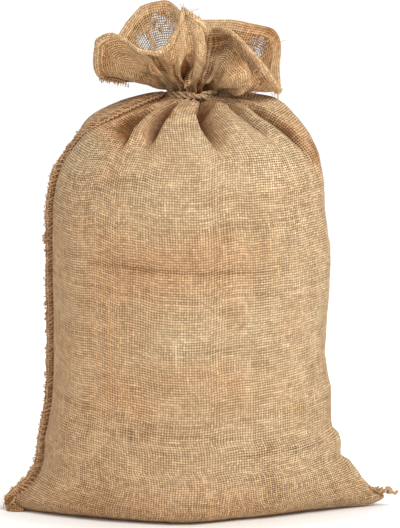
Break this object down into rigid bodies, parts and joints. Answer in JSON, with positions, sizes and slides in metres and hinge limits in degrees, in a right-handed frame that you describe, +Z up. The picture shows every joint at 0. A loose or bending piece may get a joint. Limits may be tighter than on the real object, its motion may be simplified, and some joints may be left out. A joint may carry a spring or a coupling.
{
  "type": "burlap sack",
  "caption": "Filled burlap sack standing on its flat bottom, with a side seam, drawn-out bottom corners, a twine-tied neck and an open ruffled mouth.",
  "frame": {"origin": "on the floor under the middle of the sack", "axes": "+Z up, -Y the front, +X the side opposite the seam"},
  "size_m": [0.3989, 0.182, 0.5028],
  "materials": {
    "burlap": "open plain-weave jute cloth, matt, with gaps between the threads",
    "jute_twine": "two-strand twisted jute twine, matt and hairy",
    "jute_yarn": "soft single jute yarn, matt and hairy"
  },
  "bodies": {
    "root": {"sack": "burlap", "tie": "jute_twine", "seam_tail": "jute_yarn"}
  },
  "joints": []
}
